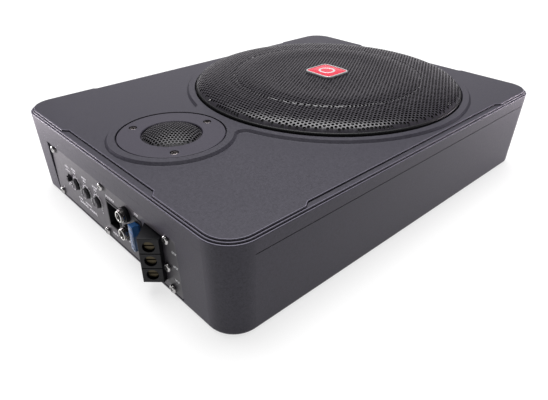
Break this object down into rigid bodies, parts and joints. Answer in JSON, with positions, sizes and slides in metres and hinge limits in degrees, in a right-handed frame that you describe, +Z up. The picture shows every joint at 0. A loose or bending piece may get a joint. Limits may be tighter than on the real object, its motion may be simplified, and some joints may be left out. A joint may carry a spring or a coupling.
{
  "type": "powered car subwoofer",
  "caption": "Flat under-seat powered subwoofer: rounded moulded box with a perforated woofer grille, a small tweeter and an end panel of controls and terminals.",
  "frame": {"origin": "centre of the enclosure's footprint on the surface it rests on", "axes": "+X along the 345 mm length, away from the control panel; +Y along the 260 mm width; +Z up, out of the woofer"},
  "size_m": [0.3549, 0.26, 0.0806],
  "materials": {
    "housing": "fine-grained moulded texture",
    "panel": "fine powder coat",
    "grille": "satin black powder coat",
    "badge_metal": "polished",
    "badge_red": "glossy enamel",
    "screw_nickel": "bright nickel",
    "screw_steel": "zinc",
    "black_plastic": "satin",
    "knob_plastic": "satin",
    "surround_rubber": "matt",
    "gasket": "foam",
    "cone_paper": "pressed pulp, black",
    "cap": "satin",
    "former": "satin foil",
    "copper": "enamelled copper wire",
    "spider_cloth": "resin-coated weave",
    "ferrite": "matt sintered",
    "motor_steel": "zinc plated",
    "basket": "satin black",
    "tweeter_plate": "fine-grained moulded texture",
    "tweeter_mesh": "satin black",
    "tweeter_silk": "coated silk",
    "board": "solder mask",
    "heatsink": "extruded",
    "chip": "moulded epoxy",
    "capacitor": "shrink sleeve",
    "fuse_blue": "translucent moulding",
    "tin": "tin plated",
    "rca_nickel": "nickel plated",
    "brass": "plated",
    "lead": "wire insulation",
    "lead_black": "wire insulation"
  },
  "bodies": {
    "enclosure": {"top_cover": "housing", "lower_housing": "housing", "housing_gasket": "gasket", "housing_screws": "screw_steel", "woofer_grille": "grille", "badge_frame": "badge_metal", "badge_inlay": "badge_red", "back_plate_and_pole": "motor_steel", "magnet": "ferrite", "top_plate": "motor_steel", "woofer_basket": "basket", "woofer_screws": "screw_steel", "basket_gasket": "gasket", "woofer_terminals": "brass", "surround": "surround_rubber", "spider": "spider_cloth", "tweeter_plate": "tweeter_plate", "tweeter_screws": "screw_nickel", "tweeter_grille": "tweeter_mesh", "tweeter_housing": "black_plastic", "tweeter_magnet": "ferrite", "terminal_block": "black_plastic", "control_panel": "panel", "panel_screws": "screw_nickel", "potentiometers": "chip", "phase_switch_body": "tin", "rca_shells": "rca_nickel", "rca_insulators": "black_plastic", "rca_housing": "black_plastic", "high_level_socket": "black_plastic", "socket_pins": "tin", "fuse_holder": "black_plastic", "amplifier_board": "board", "board_screws": "screw_steel", "heatsink": "heatsink", "power_transistors": "chip", "power_toroid": "copper", "filter_capacitors": "capacitor", "output_inductor": "copper", "woofer_leads": "lead", "tweeter_leads": "lead_black"},
    "cone_assembly": {"cone": "cone_paper", "dust_cap": "cap", "voice_coil_former": "former", "voice_coil_winding": "copper"},
    "tweeter_diaphragm": {"tweeter_diaphragm": "tweeter_silk"},
    "gain_knob": {"gain_knob": "knob_plastic"},
    "crossover_knob": {"crossover_knob": "knob_plastic"},
    "bass_boost_knob": {"bass_boost_knob": "knob_plastic"},
    "phase_lever": {"phase_switch_lever": "black_plastic"},
    "fuse": {"fuse_body": "fuse_blue", "fuse_blades": "tin"},
    "clamp_screw_1": {"clamp_screw_1": "brass"},
    "clamp_cage_1": {"clamp_cage_1": "brass"},
    "clamp_screw_2": {"clamp_screw_2": "brass"},
    "clamp_cage_2": {"clamp_cage_2": "brass"},
    "clamp_screw_3": {"clamp_screw_3": "brass"},
    "clamp_cage_3": {"clamp_cage_3": "brass"}
  },
  "joints": [
    {"name": "cone_travel", "type": "slide", "parent": "enclosure", "child": "cone_assembly", "axis": [0, 0, 1], "range_m": [-0.005, 0.005], "stiffness_N_per_m": 2500, "deforming": ["surround", "spider"]},
    {"name": "tweeter_travel", "type": "slide", "parent": "enclosure", "child": "tweeter_diaphragm", "axis": [0, 0, 1], "range_m": [-0.0003, 0.0003], "stiffness_N_per_m": 1200},
    {"name": "gain_knob_turn", "type": "hinge", "parent": "enclosure", "child": "gain_knob", "pos_m": [-0.17, 0.054, 0.026], "axis": [1, 0, 0], "range_deg": [-135, 135]},
    {"name": "crossover_knob_turn", "type": "hinge", "parent": "enclosure", "child": "crossover_knob", "pos_m": [-0.17, 0.037, 0.026], "axis": [1, 0, 0], "range_deg": [-135, 135]},
    {"name": "bass_boost_knob_turn", "type": "hinge", "parent": "enclosure", "child": "bass_boost_knob", "pos_m": [-0.17, 0.02, 0.026], "axis": [1, 0, 0], "range_deg": [-135, 135]},
    {"name": "phase_switch_slide", "type": "slide", "parent": "enclosure", "child": "phase_lever", "axis": [0, 1, 0], "range_m": [0, 0.003]},
    {"name": "fuse_pull", "type": "slide", "parent": "enclosure", "child": "fuse", "axis": [-1, 0, 0], "range_m": [0, 0.018]},
    {"name": "clamp_screw_1_turn", "type": "hinge", "parent": "enclosure", "child": "clamp_screw_1", "pos_m": [-0.17795, -0.0629, 0.0365], "axis": [0.6873, 0.7264, 0], "range_deg": [0, 1080]},
    {"name": "clamp_cage_1_slide", "type": "slide", "parent": "enclosure", "child": "clamp_cage_1", "axis": [-0.6873, -0.7264, 0], "range_m": [0, 0.00195]},
    {"name": "clamp_screw_2_turn", "type": "hinge", "parent": "enclosure", "child": "clamp_screw_2", "pos_m": [-0.17795, -0.0629, 0.026], "axis": [0.6873, 0.7264, 0], "range_deg": [0, 1080]},
    {"name": "clamp_cage_2_slide", "type": "slide", "parent": "enclosure", "child": "clamp_cage_2", "axis": [-0.6873, -0.7264, 0], "range_m": [0, 0.00195]},
    {"name": "clamp_screw_3_turn", "type": "hinge", "parent": "enclosure", "child": "clamp_screw_3", "pos_m": [-0.17795, -0.0629, 0.0155], "axis": [0.6873, 0.7264, 0], "range_deg": [0, 1080]},
    {"name": "clamp_cage_3_slide", "type": "slide", "parent": "enclosure", "child": "clamp_cage_3", "axis": [-0.6873, -0.7264, 0], "range_m": [0, 0.00195]}
  ],
  "couplings": [
    {"joint": "clamp_screw_1_turn", "follows": "clamp_cage_1_slide", "rad_per_m": 9666.4},
    {"joint": "clamp_screw_2_turn", "follows": "clamp_cage_2_slide", "rad_per_m": 9666.4},
    {"joint": "clamp_screw_3_turn", "follows": "clamp_cage_3_slide", "rad_per_m": 9666.4}
  ]
}
